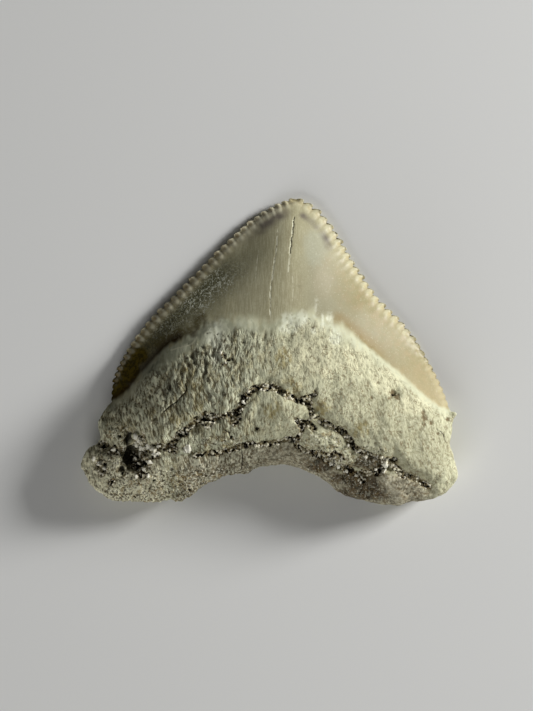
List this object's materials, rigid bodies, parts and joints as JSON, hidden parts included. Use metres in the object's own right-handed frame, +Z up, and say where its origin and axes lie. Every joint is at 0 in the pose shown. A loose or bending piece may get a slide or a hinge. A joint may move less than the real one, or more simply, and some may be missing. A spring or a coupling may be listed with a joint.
{
  "type": "fossil shark tooth",
  "caption": "Broad triangular fossil shark tooth with finely serrated cutting edges and a thick arched root with two lobes, lying on its flat labial face.",
  "frame": {"origin": "on the surface that the tooth rests on, under the middle of its bounding box", "axes": "+X across the root, +Y from the root to the tip of the crown, +Z up, out of the lingual face"},
  "size_m": [0.034, 0.0278, 0.0081],
  "materials": {
    "fossil": "matt, rough cream to grey-green root; semi-gloss grey-olive enamel with paler serrations on the crown"
  },
  "bodies": {
    "root": {"fossil_shark_tooth": "fossil"}
  },
  "joints": []
}
